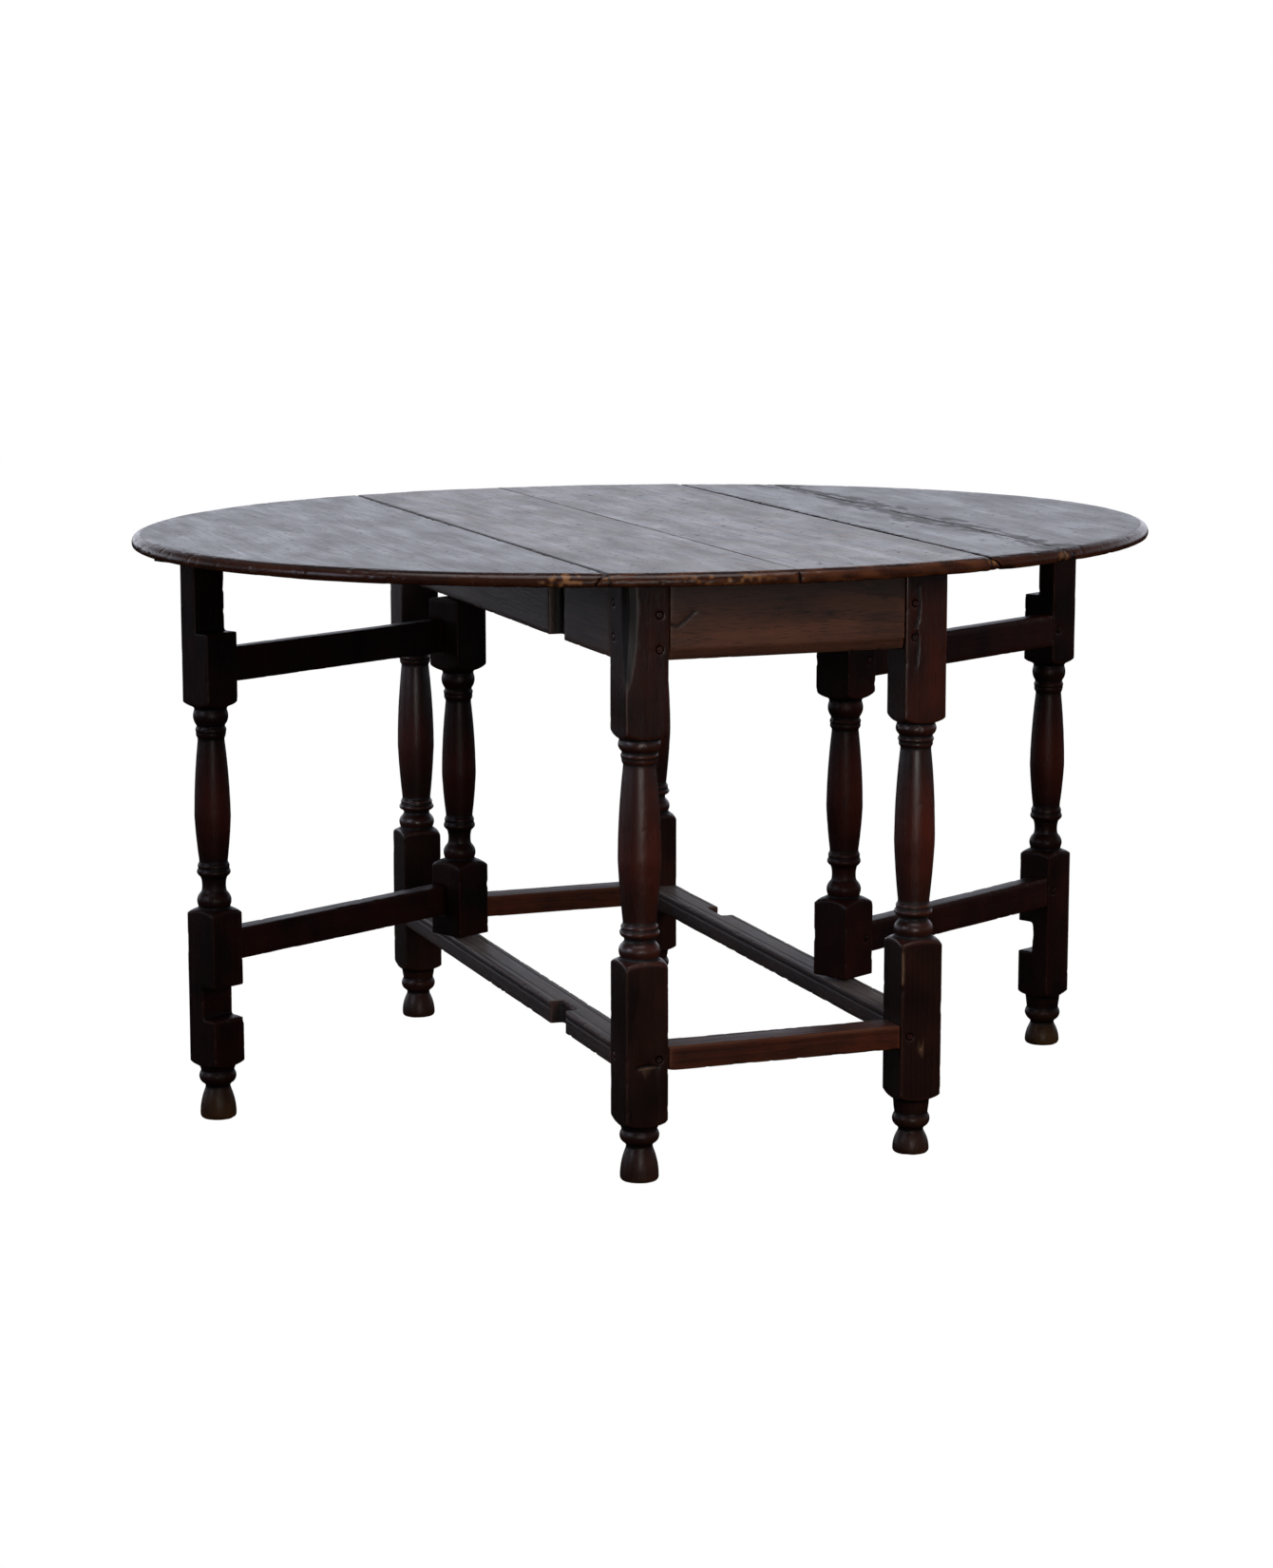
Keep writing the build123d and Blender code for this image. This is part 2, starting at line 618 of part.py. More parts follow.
def main():
    os.makedirs("parts", exist_ok=True)
    parts = {**build_frame(), **build_gates(), **build_centre(), **build_leaves(), **build_hinges()}
    for name, shape in parts.items():
        export_step(shape, f"parts/{name}.step")
    print(len(parts), "nodes written")


main()
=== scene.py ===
# %% [markdown]
# # An old oak gateleg table
#
# The table is an oval top in three parts, a framed stand on four turned legs, and two gates that
# swing out to hold the leaves up. The CAD model gives every piece its place and size. This
# script gives each one what three hundred years of use gave the real one: rounded arrises,
# chips, uneven scraped faces, wax, smoke and dust.
#
# The CAD model is the fixed frame. Each visible piece starts as a fine copy of its CAD node, so
# nothing has to be measured or fitted twice.

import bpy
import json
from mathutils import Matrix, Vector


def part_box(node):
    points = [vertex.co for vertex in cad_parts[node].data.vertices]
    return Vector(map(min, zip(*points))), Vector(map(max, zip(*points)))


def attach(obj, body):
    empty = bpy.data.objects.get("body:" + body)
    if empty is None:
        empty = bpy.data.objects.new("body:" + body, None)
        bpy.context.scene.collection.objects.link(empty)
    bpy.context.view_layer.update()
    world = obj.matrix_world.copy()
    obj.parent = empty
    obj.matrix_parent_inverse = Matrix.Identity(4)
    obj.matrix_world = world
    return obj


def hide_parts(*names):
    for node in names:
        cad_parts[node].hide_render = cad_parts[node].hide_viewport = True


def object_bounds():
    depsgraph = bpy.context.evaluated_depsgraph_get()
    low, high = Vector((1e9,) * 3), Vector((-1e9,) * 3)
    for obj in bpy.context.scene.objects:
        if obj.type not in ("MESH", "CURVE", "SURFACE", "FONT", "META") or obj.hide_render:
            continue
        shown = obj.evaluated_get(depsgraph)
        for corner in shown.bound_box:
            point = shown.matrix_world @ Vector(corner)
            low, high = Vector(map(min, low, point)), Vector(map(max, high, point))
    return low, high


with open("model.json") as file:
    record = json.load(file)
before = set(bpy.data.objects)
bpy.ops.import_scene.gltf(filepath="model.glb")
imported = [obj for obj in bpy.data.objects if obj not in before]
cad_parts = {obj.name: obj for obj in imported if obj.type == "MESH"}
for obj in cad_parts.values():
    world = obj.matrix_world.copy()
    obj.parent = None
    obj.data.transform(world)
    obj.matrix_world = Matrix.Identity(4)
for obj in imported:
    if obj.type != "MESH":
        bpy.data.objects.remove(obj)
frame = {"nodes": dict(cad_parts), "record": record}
cad_box = [list(corner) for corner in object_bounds()]

# %% Modules and the body of each node
import json
import math

import bmesh
import bpy
import numpy as np
from mathutils import Matrix, Vector

body_of_node = {}
for body_name, node_names in frame["record"]["behaviour"]["bodies"].items():
    for node_name in node_names:
        body_of_node[node_name] = body_name
print("nodes with a body", len(body_of_node))

# %% [markdown]
# ## The camera
#
# It stands off the left front corner, a little above the top, so the top shows as a thin oval
# and both gates are seen from the side. A long lens keeps the legs upright.

# %% Camera
camera = bpy.data.objects.new("camera", bpy.data.cameras.new("camera"))
bpy.context.scene.collection.objects.link(camera)
camera.data.lens = 83.52
camera.location = (-1.6348, -4.3376, 1.2013)
camera.rotation_euler = (math.pi / 2 - 0.17298, 0.0, -0.35758)
bpy.context.scene.camera = camera
bpy.context.scene.view_settings.view_transform = "Standard"
print("camera stands", round(camera.location.length, 2), "m from the middle of the floor")

# %% [markdown]
# ## Colours and nodes
#
# Colours are written as sRGB hex, as a paint chart gives them, and turned linear once. Materials
# are graphs of nodes, so one small function adds a node, sets its values and joins its inputs.

# %% Colour and node helpers
def linear(hex_colour):
    """A linear RGBA colour from sRGB hex such as #3a2a20."""
    parts = [int(hex_colour[i:i + 2], 16) / 255 for i in (1, 3, 5)]
    return [c / 12.92 if c <= 0.04045 else ((c + 0.055) / 1.055) ** 2.4 for c in parts] + [1.0]


def add(tree, kind, settings=None, links=None):
    """Adds a node. Settings go to its properties or sockets, and links come from other outputs."""
    made = tree.nodes.new(kind)
    for key, value in (settings or {}).items():
        if key == "stops":
            while len(made.color_ramp.elements) < len(value):
                made.color_ramp.elements.new(0.5)
            for element, (place, colour) in zip(made.color_ramp.elements, value):
                element.position, element.color = place, linear(colour)
        elif isinstance(key, str) and hasattr(made, key):
            setattr(made, key, value)
        else:
            made.inputs[key].default_value = value
    for key, source in (links or {}).items():
        tree.links.new(source, made.inputs[key])
    return made


print("white", linear("#ffffff"), "oak", [round(c, 3) for c in linear("#3a2a20")])

# %% [markdown]
# ## The room
#
# A plain white surround: a globe that only the camera sees, a dark floor that only bounces
# light, and soft lamps. Splitting what is seen from what lights the table keeps old black oak
# black although it stands in a white room, and lets the underside be seen through the floor.

# %% Globe and floor
def plain_matt(name, colour, glow):
    """A matt surface that may glow white."""
    material = bpy.data.materials.new(name)
    material.use_nodes = True
    shader = material.node_tree.nodes["Principled BSDF"]
    shader.inputs["Base Color"].default_value = linear(colour)
    shader.inputs["Roughness"].default_value = 1.0
    shader.inputs["Specular IOR Level"].default_value = 0.0
    shader.inputs["Emission Color"].default_value = linear("#ffffff")
    shader.inputs["Emission Strength"].default_value = glow
    return material


def room_part(name, material, build):
    """A stage object from a small mesh recipe."""
    mesh = bpy.data.meshes.new(name)
    form = bmesh.new()
    build(form)
    form.to_mesh(mesh)
    form.free()
    mesh.materials.append(material)
    part = bpy.data.objects.new(name, mesh)
    bpy.context.scene.collection.objects.link(part)
    return part


def disc(form):
    bmesh.ops.create_circle(form, cap_ends=True, segments=96, radius=30.0)


def ball(form):
    bmesh.ops.create_icosphere(form, subdivisions=5, radius=29.0)


bounce = room_part("floor_bounce", plain_matt("grey_floor", "#242220", 0.0), disc)
globe = room_part("white_globe", plain_matt("glowing_white", "#000000", 1.0), ball)
bounce.location.z = -0.002
bounce.visible_camera = False
globe.visible_diffuse = False
globe.visible_glossy = False
globe.visible_shadow = False
print("room parts", bounce.name, globe.name)

# %% Lamps and sky
def soft_lamp(name, place, target, size, watts, colour):
    """A square softbox at place, facing target."""
    lamp = bpy.data.objects.new(name, bpy.data.lights.new(name, "AREA"))
    bpy.context.scene.collection.objects.link(lamp)
    lamp.data.shape = "SQUARE"
    lamp.data.size = size
    lamp.data.energy = watts
    lamp.data.color = linear(colour)[:3]
    lamp.location = place
    lamp.rotation_euler = (Vector(target) - Vector(place)).to_track_quat("-Z", "Y").to_euler()
    return lamp


key = soft_lamp("lamp_front_right", (2.2, -3.4, 2.3), (0.0, 0.0, 0.5), 1.4, 110, "#fffaf5")
# Seen from behind, its reflection would burn the waxed top out to white.
key.visible_glossy = False
soft_lamp("lamp_by_the_camera", (-1.0, -4.7, 1.0), (0.0, 0.0, 0.45), 1.5, 45, "#fffaf5")
soft_lamp("lamp_overhead", (-0.2, -0.4, 3.6), (0.0, 0.0, 0.0), 2.6, 90, "#ffffff")
soft_lamp("lamp_left", (-4.0, -0.8, 2.0), (0.0, 0.0, 0.5), 1.6, 50, "#e4e8ff")

# The sky is a bright low wall behind the table, which the waxed top reflects, and dim elsewhere.
WALL_LIGHT = 1.65
SKY_LIGHT = 0.13
sky = bpy.data.worlds.new("soft_sky")
bpy.context.scene.world = sky
sky.use_nodes = True
sky_tree = sky.node_tree
sky_tree.nodes.clear()
direction = add(sky_tree, "ShaderNodeTexCoord")
toward = add(sky_tree, "ShaderNodeSeparateXYZ", {}, {0: direction.outputs["Generated"]})
behind = add(sky_tree, "ShaderNodeMapRange", {"From Min": 0.0, "From Max": 0.8},
             {"Value": toward.outputs["Y"]})
beside = add(sky_tree, "ShaderNodeMapRange", {"From Min": 0.3, "From Max": 1.0, "To Max": 0.22},
             {"Value": toward.outputs["X"]})
low = add(sky_tree, "ShaderNodeMapRange", {"From Min": 0.42, "From Max": 0.14},
          {"Value": toward.outputs["Z"]})
wall = add(sky_tree, "ShaderNodeMath", {"operation": "MAXIMUM"},
           {0: behind.outputs[0], 1: beside.outputs[0]})
lit_wall = add(sky_tree, "ShaderNodeMath", {"operation": "MULTIPLY"},
               {0: wall.outputs[0], 1: low.outputs[0]})
strength = add(sky_tree, "ShaderNodeMath",
               {"operation": "MULTIPLY_ADD", 1: WALL_LIGHT, 2: SKY_LIGHT},
               {0: lit_wall.outputs[0]})
light = add(sky_tree, "ShaderNodeBackground", {"Color": linear("#eaeefc")},
            {"Strength": strength.outputs[0]})
add(sky_tree, "ShaderNodeOutputWorld", {}, {"Surface": light.outputs[0]})

# %% [markdown]
# ## Working the wood
#
# A CAD node has perfectly flat faces and sharp edges. A voxel remesh turns it into small even
# faces, which can then be moved one point at a time. All points are moved together as numpy
# arrays, because a leg has tens of thousands of them. Points are in millimetres here.

# %% A fine copy of a CAD node
def fine_copy(name, node, face, seat):
    """Copies a CAD node as even faces about face mm wide, in the straight frame that seat gives."""
    mesh = frame["nodes"][node].data.copy()
    mesh.materials.clear()
    mesh.transform(seat.inverted())
    knit = bmesh.new()
    knit.from_mesh(mesh)
    bmesh.ops.remove_doubles(knit, verts=knit.verts, dist=1e-6)
    knit.to_mesh(mesh)
    knit.free()
    piece = bpy.data.objects.new(name, mesh)
    bpy.context.scene.collection.objects.link(piece)
    even = piece.modifiers.new("even faces", "REMESH")
    even.mode = "VOXEL"
    even.voxel_size = face * 1.0 / 1000
    return set_solid(piece)


def set_solid(piece):
    """Applies the piece's modifiers to its mesh."""
    seen = piece.evaluated_get(bpy.context.evaluated_depsgraph_get())
    old = piece.data
    piece.data = bpy.data.meshes.new_from_object(seen)
    piece.modifiers.clear()
    bpy.data.meshes.remove(old)
    return piece


# %% Points in and out of a mesh
def points_of(mesh):
    """Every point of a mesh in millimetres, one row each."""
    flat = np.empty(len(mesh.vertices) * 3, np.float32)
    mesh.vertices.foreach_get("co", flat)
    return flat.reshape(-1, 3).astype(float) * 1000


def put_points(mesh, points):
    """Moves every point of a mesh to a place in millimetres."""
    mesh.vertices.foreach_set("co", (points / 1000).astype(np.float32).ravel())
    mesh.update()


def facing_of(mesh):
    """The direction that the surface faces at every point."""
    flat = np.empty(len(mesh.vertices) * 3, np.float32)
    mesh.vertices.foreach_get("normal", flat)
    return flat.reshape(-1, 3).astype(float)


def keep_value(mesh, name, values):
    """Stores one number, or one vector, for each point, for the material to read."""
    kind, field = ("FLOAT", "value") if values.ndim == 1 else ("FLOAT_VECTOR", "vector")
    held = mesh.attributes.new(name, kind, "POINT")
    held.data.foreach_set(field, values.astype(np.float32).ravel())


# %% Smoothing and random hills
def relaxed(mesh, values, rounds):
    """Moves each point's values halfway to the average of its neighbours', rounds times."""
    ends = np.empty(len(mesh.edges) * 2, np.int32)
    mesh.edges.foreach_get("vertices", ends)
    a, b = ends.reshape(-1, 2).T
    n = len(values)
    count = np.maximum(np.bincount(a, minlength=n) + np.bincount(b, minlength=n), 1)
    for _ in range(rounds):
        total = [np.bincount(a, v[b], n) + np.bincount(b, v[a], n) for v in values.T]
        values = values + 0.5 * (np.stack(total, 1) / count[:, None] - values)
    return values


def hills(points, size, seed):
    """Smooth random hills about size mm across, from 0 to 1. The same seed gives the same hills."""
    cells = points / np.asarray(size, float)
    corner = np.floor(cells).astype(np.int64)
    part = cells - corner
    ease = part * part * (3 - 2 * part)
    total = np.zeros(len(points))
    for step in np.ndindex(2, 2, 2):
        code = (corner + step) @ np.array([73856093, 19349663, 83492791]) + seed * 668265263
        code = (code ^ (code >> 13)) * 1274126177
        code = (code ^ (code >> 16)) & 0xFFFF
        share = np.prod(np.where(step, ease, 1 - ease), axis=1)
        total += share * code / 65535
    return total


def near(points, centre, reach):
    """1 at centre, falling to 0 at reach mm away; reach may differ along the three axes."""
    away = np.linalg.norm((points - np.asarray(centre, float)) / np.asarray(reach, float), axis=1)
    return np.clip(1 - away, 0, 1)


def near_line(points, line, reach):
    """1 on a line through several points, falling to 0 at reach mm away."""
    nearest = np.full(len(points), 1e9)
    for start, end in zip(line[:-1], line[1:]):
        start, run = np.asarray(start, float), np.asarray(end, float) - np.asarray(start, float)
        along = np.clip((points - start) @ run / (run @ run), 0, 1)
        nearest = np.minimum(nearest, np.linalg.norm(points - start - along[:, None] * run, axis=1))
    return np.clip(1 - nearest / reach, 0, 1)


# %% [markdown]
# ## Age
#
# Old oak wears in a few simple ways. Long planed faces are never quite flat. Edges round over
# and lose small bites. Corners and quirks fill with black wax. So the script measures how far
# each point stands out from its neighbours: points that stand out are rubbed away and marked
# as worn, and points that lie deep are marked as grimy. Marks of one piece only, such as a
# crack, come in as a list.

# %% Age one piece
AXES = {"X": (0, 1, 2), "Y": (1, 2, 0), "Z": (2, 0, 1)}
# A point this many mm proud of its surroundings is fully an arris, and this many mm below them
# is fully a quirk.
ARRIS_MM = 0.5
QUIRK_MM = 0.3


def aged(piece, along, seed, uneven=0.35, arris=0.7, bites=0.8, marks=()):
    """Wears a fine mesh and stores what its material needs: worn, grime, rubbed and raw."""
    mesh = piece.data
    points, facing = points_of(mesh), facing_of(mesh)
    calm = np.zeros(len(points))
    for kind, amount, where in marks:
        if kind == "calm":
            calm = np.maximum(calm, amount * np.clip(where(points, facing), 0, 1))
    points += (relaxed(mesh, points, 1) - points) * (1 - calm)[:, None]
    put_points(mesh, points)
    facing = facing_of(mesh)
    stand = np.einsum("ij,ij->i", points - relaxed(mesh, points, 9), facing) * (1 - calm)
    edge, deep = np.clip(stand / ARRIS_MM, 0, 1), np.clip(-stand / QUIRK_MM, 0, 1)
    order = AXES[along]
    long_way = np.ones(3)
    long_way[order[0]] = 3.5
    lost = uneven * hills(points, 48 * long_way, seed)
    lost += 0.35 * uneven * hills(points, 15 * long_way, seed + 1)
    lost += arris * edge * (0.25 + 0.75 * hills(points, 40, seed + 2))
    lost += bites * edge * np.clip(hills(points, 9, seed + 3) * 3 - 2.0, 0, 1) * 2
    worn = edge * (0.35 + 0.9 * hills(points, 26, seed + 4))
    grime, rubbed, raw = deep, np.zeros(len(points)), np.zeros(len(points))
    for kind, amount, where in marks:
        if kind == "calm":
            continue
        share = where(points, facing) * amount
        if kind == "cut":
            lost += share
            grime = grime + np.clip(share, 0, 1) * 0.8
        elif kind == "raw":
            raw = raw + share
        elif kind == "rubbed":
            rubbed = rubbed + share
        else:
            grime = grime + share
    put_points(mesh, points - facing * (lost + 0.05)[:, None])
    for name, values in (("worn", worn), ("grime", grime), ("rubbed", rubbed), ("raw", raw)):
        keep_value(mesh, name, np.clip(values, 0, 1))
    return piece


def finished(piece, along, seed, seat, keep):
    """Thins the mesh, adds the grain coordinates, and puts the piece back in its place.

    Points with a strong mark are kept, so that thinning doesn't smear the mark."""
    if keep < 1.0:
        fixed = np.zeros(len(piece.data.vertices), bool)
        for name, least in (("grime", 0.6), ("raw", 0.15)):
            values = np.empty(len(fixed), np.float32)
            piece.data.attributes[name].data.foreach_get("value", values)
            fixed |= values > least
        group = piece.vertex_groups.new(name="marked")
        group.add(np.flatnonzero(fixed).tolist(), 1.0, "REPLACE")
        thin = piece.modifiers.new("fewer faces where it is flat", "DECIMATE")
        thin.ratio = keep + (1 - keep) * fixed.mean()
        thin.vertex_group = group.name
        thin.invert_vertex_group = True
        set_solid(piece)
    mesh = piece.data
    points = points_of(mesh)
    chance = np.random.default_rng(seed)
    angle, distance = chance.uniform(0, 2 * math.pi), chance.uniform(70, 130)
    start = chance.uniform(0, 900)
    heart = np.array([start, distance * math.cos(angle), distance * math.sin(angle)])
    order = list(AXES[along])
    keep_value(mesh, "grain", points[:, order] - points.mean(0)[order] + heart)
    mesh.transform(seat)
    mesh.polygons.foreach_set("use_smooth", np.ones(len(mesh.polygons), bool))
    mesh.update()
    return piece


# %% [markdown]
# ## Oak
#
# Every wooden surface is the same timber, so one recipe makes them all, and each finish gives
# its own colours and gloss. Growth rings are circles about the heart of the tree, some way
# outside each piece. Slow-grown oak has rings 2 to 4 mm apart; they are drawn about 7 mm apart
# so that they show from across a room. Pores are short dark lines along the grain.

# %% The oak recipe
def oak(name, board, ring, rubbed, worn, grime="#070404", raw="#9a7140", gloss=0.45, relief=0.35,
        ring_mm=7.0, streak_mm=3.0, dusty=0.0, wax=0.15, shine=0.5, contrast=0.6, scuffed=0.3,
        pitted=0.0, dull=0.12):
    """One finish on oak. Colours are hex, lengths are mm, and the rest are shares from 0 to 1."""
    material = bpy.data.materials.new(name)
    material.use_nodes = True
    tree = material.node_tree
    tree.nodes.clear()
    grain = add(tree, "ShaderNodeAttribute", {"attribute_name": "grain"})
    # The grain wanders by a centimetre or two over a third of a metre.
    slow = add(tree, "ShaderNodeVectorMath",
               {"operation": "MULTIPLY", 1: (1 / 320, 1 / 80, 1 / 80)},
               {0: grain.outputs["Vector"]})
    wander = add(tree, "ShaderNodeTexNoise", {"Scale": 1.0, "Detail": 2.0},
                 {"Vector": slow.outputs[0]})
    bent = add(tree, "ShaderNodeVectorMath", {"operation": "MULTIPLY_ADD", 1: (0, 22, 22)},
               {0: wander.outputs["Color"], 2: grain.outputs["Vector"]})
    # A wave repeats every 0.314 / scale, so this scale spaces the rings ring_mm apart.
    rings = add(tree, "ShaderNodeTexWave",
                {"wave_type": "RINGS", "rings_direction": "X", "wave_profile": "SAW",
                 "Scale": 0.314 / ring_mm, "Distortion": 1.5, "Detail": 2.0, "Detail Scale": 0.4},
                {"Vector": bent.outputs[0]})
    stretched = add(tree, "ShaderNodeVectorMath",
                    {"operation": "MULTIPLY", 1: (0.014 / streak_mm, 1 / streak_mm, 1 / streak_mm)},
                    {0: bent.outputs[0]})
    streaks = add(tree, "ShaderNodeTexNoise", {"Scale": 1.0, "Detail": 4.0, "Roughness": 0.62},
                  {"Vector": stretched.outputs[0]})
    # Pores are about 1 mm across and 18 mm long.
    drawn_out = add(tree, "ShaderNodeVectorMath", {"operation": "MULTIPLY", 1: (0.055, 0.9, 0.9)},
                    {0: grain.outputs["Vector"]})
    pores = add(tree, "ShaderNodeTexNoise", {"Scale": 1.0, "Detail": 2.0},
                {"Vector": drawn_out.outputs[0]})
    # Wax wears in clouds about 95 mm across, and scuffs are 130 mm long and 34 mm wide.
    clouds = add(tree, "ShaderNodeTexNoise", {"Scale": 1 / 95, "Detail": 4.0, "Roughness": 0.6},
                 {"Vector": grain.outputs["Vector"]})
    scrape = add(tree, "ShaderNodeVectorMath",
                 {"operation": "MULTIPLY", 1: (1 / 130, 1 / 34, 1 / 34)},
                 {0: grain.outputs["Vector"]})
    scuffs = add(tree, "ShaderNodeTexNoise", {"Scale": 1.0, "Detail": 5.0, "Roughness": 0.65},
                 {"Vector": scrape.outputs[0]})
    marks = {key: add(tree, "ShaderNodeAttribute", {"attribute_name": key})
             for key in ("worn", "grime", "rubbed", "raw")}

    figure = add(tree, "ShaderNodeMath", {"operation": "MULTIPLY_ADD", 1: 0.45},
                 {0: rings.outputs["Fac"], 2: streaks.outputs[0]})
    figure_share = add(tree, "ShaderNodeMapRange",
                       {"From Min": 0.45, "From Max": 0.95, "To Min": 0.0, "To Max": contrast},
                       {"Value": figure.outputs[0]})
    timber = add(tree, "ShaderNodeMix", {"data_type": "RGBA", 6: linear(board), 7: linear(ring)},
                 {0: figure_share.outputs[0]})
    cloud_share = add(tree, "ShaderNodeMapRange", {"From Min": 0.38, "From Max": 0.68},
                      {"Value": clouds.outputs[0]})
    handled = add(tree, "ShaderNodeMath", {"operation": "MULTIPLY_ADD", 1: 0.35, "use_clamp": True},
                  {0: cloud_share.outputs[0], 2: marks["rubbed"].outputs["Fac"]})
    patina = add(tree, "ShaderNodeMix", {"data_type": "RGBA", 7: linear(rubbed)},
                 {0: handled.outputs[0], 6: timber.outputs[2]})
    pore_share = add(tree, "ShaderNodeMapRange",
                     {"From Min": 0.56, "From Max": 0.70, "To Min": 0.0, "To Max": 0.7},
                     {"Value": pores.outputs[0]})
    with_pores = add(tree, "ShaderNodeMix", {"data_type": "RGBA", 7: linear(grime)},
                     {0: pore_share.outputs[0], 6: patina.outputs[2]})
    specks = add(tree, "ShaderNodeTexNoise", {"Scale": 1 / 9, "Detail": 2.0},
                 {"Vector": grain.outputs["Vector"]})
    pits = add(tree, "ShaderNodeMapRange",
               {"From Min": 0.66, "From Max": 0.74, "To Max": pitted}, {"Value": specks.outputs[0]})
    all_grime = add(tree, "ShaderNodeMath", {"operation": "MAXIMUM"},
                    {0: marks["grime"].outputs["Fac"], 1: pits.outputs[0]})
    rub_share = add(tree, "ShaderNodeMath", {"operation": "MULTIPLY", "use_clamp": True},
                    {0: marks["worn"].outputs["Fac"], 1: streaks.outputs[0]})
    edges = add(tree, "ShaderNodeMix", {"data_type": "RGBA", 7: linear(worn)},
                {0: rub_share.outputs[0], 6: with_pores.outputs[2]})
    bare = add(tree, "ShaderNodeMix", {"data_type": "RGBA", 7: linear(raw)},
               {0: marks["raw"].outputs["Fac"], 6: edges.outputs[2]})
    blackened = add(tree, "ShaderNodeMix", {"data_type": "RGBA", 7: linear(grime)},
                    {0: all_grime.outputs[0], 6: bare.outputs[2]})

    shape = add(tree, "ShaderNodeNewGeometry")
    upward = add(tree, "ShaderNodeSeparateXYZ", {}, {0: shape.outputs["Normal"]})
    dust_share = add(tree, "ShaderNodeMapRange",
                     {"From Min": 0.55, "From Max": 0.98, "To Min": 0.0, "To Max": dusty},
                     {"Value": upward.outputs["Z"]})
    dust = add(tree, "ShaderNodeMath", {"operation": "MULTIPLY"},
               {0: dust_share.outputs[0], 1: cloud_share.outputs[0]})
    dust_all = add(tree, "ShaderNodeMath", {"operation": "MULTIPLY_ADD", 1: 0.5, "use_clamp": True},
                   {0: dust_share.outputs[0], 2: dust.outputs[0]})
    colour = add(tree, "ShaderNodeMix", {"data_type": "RGBA", 7: linear("#6d6560")},
                 {0: dust_all.outputs[0], 6: blackened.outputs[2]})

    patchy = add(tree, "ShaderNodeMath", {"operation": "MULTIPLY_ADD", 1: 0.14, 2: gloss - 0.07},
                 {0: clouds.outputs[0]})
    lined = add(tree, "ShaderNodeMath", {"operation": "MULTIPLY_ADD", 1: 0.30},
                {0: streaks.outputs[0], 2: patchy.outputs[0]})
    scuffed_gloss = add(tree, "ShaderNodeMapRange",
                        {"From Min": 0.40, "From Max": 0.66, "To Min": -0.10 * scuffed,
                         "To Max": 0.16 * scuffed}, {"Value": scuffs.outputs[0]})
    uneven_gloss = add(tree, "ShaderNodeMath", {"operation": "ADD"},
                       {0: lined.outputs[0], 1: scuffed_gloss.outputs[0]})
    dry = add(tree, "ShaderNodeMath", {"operation": "MULTIPLY_ADD", 1: 0.4},
              {0: dust_all.outputs[0], 2: uneven_gloss.outputs[0]})
    rough = add(tree, "ShaderNodeMath", {"operation": "MULTIPLY_ADD", 1: dull, "use_clamp": True},
                {0: all_grime.outputs[0], 2: dry.outputs[0]})
    lines = add(tree, "ShaderNodeMath", {"operation": "MULTIPLY_ADD", 1: -0.6},
                {0: pore_share.outputs[0], 2: figure.outputs[0]})
    height = add(tree, "ShaderNodeMath", {"operation": "MULTIPLY_ADD", 1: 1.2 * scuffed},
                 {0: scuffs.outputs[0], 2: lines.outputs[0]})
    bump = add(tree, "ShaderNodeBump", {"Strength": 0.7, "Distance": relief / 1000},
               {"Height": height.outputs[0]})
    shader = add(tree, "ShaderNodeBsdfPrincipled",
                 {"Specular IOR Level": shine, "Coat Weight": wax, "Coat Roughness": 0.3},
                 {"Base Color": colour.outputs[2], "Roughness": rough.outputs[0],
                  "Normal": bump.outputs[0]})
    add(tree, "ShaderNodeOutputMaterial", {}, {"Surface": shader.outputs[0]})
    print("made", name, "with", len(tree.nodes), "nodes")
    return material


# %% The finishes
# Waxed and polished for centuries: dark, with a soft cool sheen seen low across the boards.
waxed_top = oak("waxed_oak_top", "#1f1818", "#0f0b0b", "#241c1b", "#2a1e19", gloss=0.26,
                relief=0.45, streak_mm=3.2, wax=0.3, scuffed=0.45, pitted=1.0, dull=0.6)
# The moulded rim is handled most, so it is smooth, red brown and glossy.
moulded_rim = oak("moulded_oak_rim", "#170a07", "#090403", "#35170c", "#46220f", raw="#6e4a2c",
                  gloss=0.08, relief=0.2, wax=0.05, shine=0.15, scuffed=0.2)
# Sawn or adzed and never finished: dry, dull and dark with smoke.
sawn_oak = oak("sawn_oak_underside", "#15100e", "#0a0706", "#1f1713", "#241a15", gloss=0.58,
               relief=0.6, wax=0.0, shine=0.25)
# Planed by hand, then waxed now and then: a mid brown with its grain in view.
planed_oak = oak("planed_oak_apron", "#3b2217", "#190d09", "#553120", "#51301f", gloss=0.34,
                 relief=0.3, streak_mm=3.0, contrast=0.9, scuffed=0.12, shine=0.5)
# Turned on a pole lathe and waxed: near black, going red brown where it is rubbed.
turned_oak = oak("turned_oak_leg", "#1c0d09", "#0a0403", "#43170d", "#43200f", raw="#6d5340",
                 gloss=0.20, relief=0.22, wax=0.2, shine=0.32, scuffed=0.15, contrast=0.8, dull=0.5)
# Lower blocks and feet: a blacker, duller copy of the leg finish, painted shade towards the floor.
low_oak_painted_shade = oak("painted_shade_oak_foot", "#170b08", "#080303", "#331810", "#3d2318", raw="#6d5340",
              gloss=0.22, relief=0.22, wax=0.0, shine=0.18, scuffed=0.15, contrast=0.8)
# Gate timber, darker still and drier: its darker colour is painted shade for under the leaves.
gate_oak_painted_shade = oak("painted_shade_oak_gate", "#0e0605", "#050202", "#31110b", "#241009", gloss=0.24,
               relief=0.25, wax=0.0, shine=0.12, scuffed=0.15)
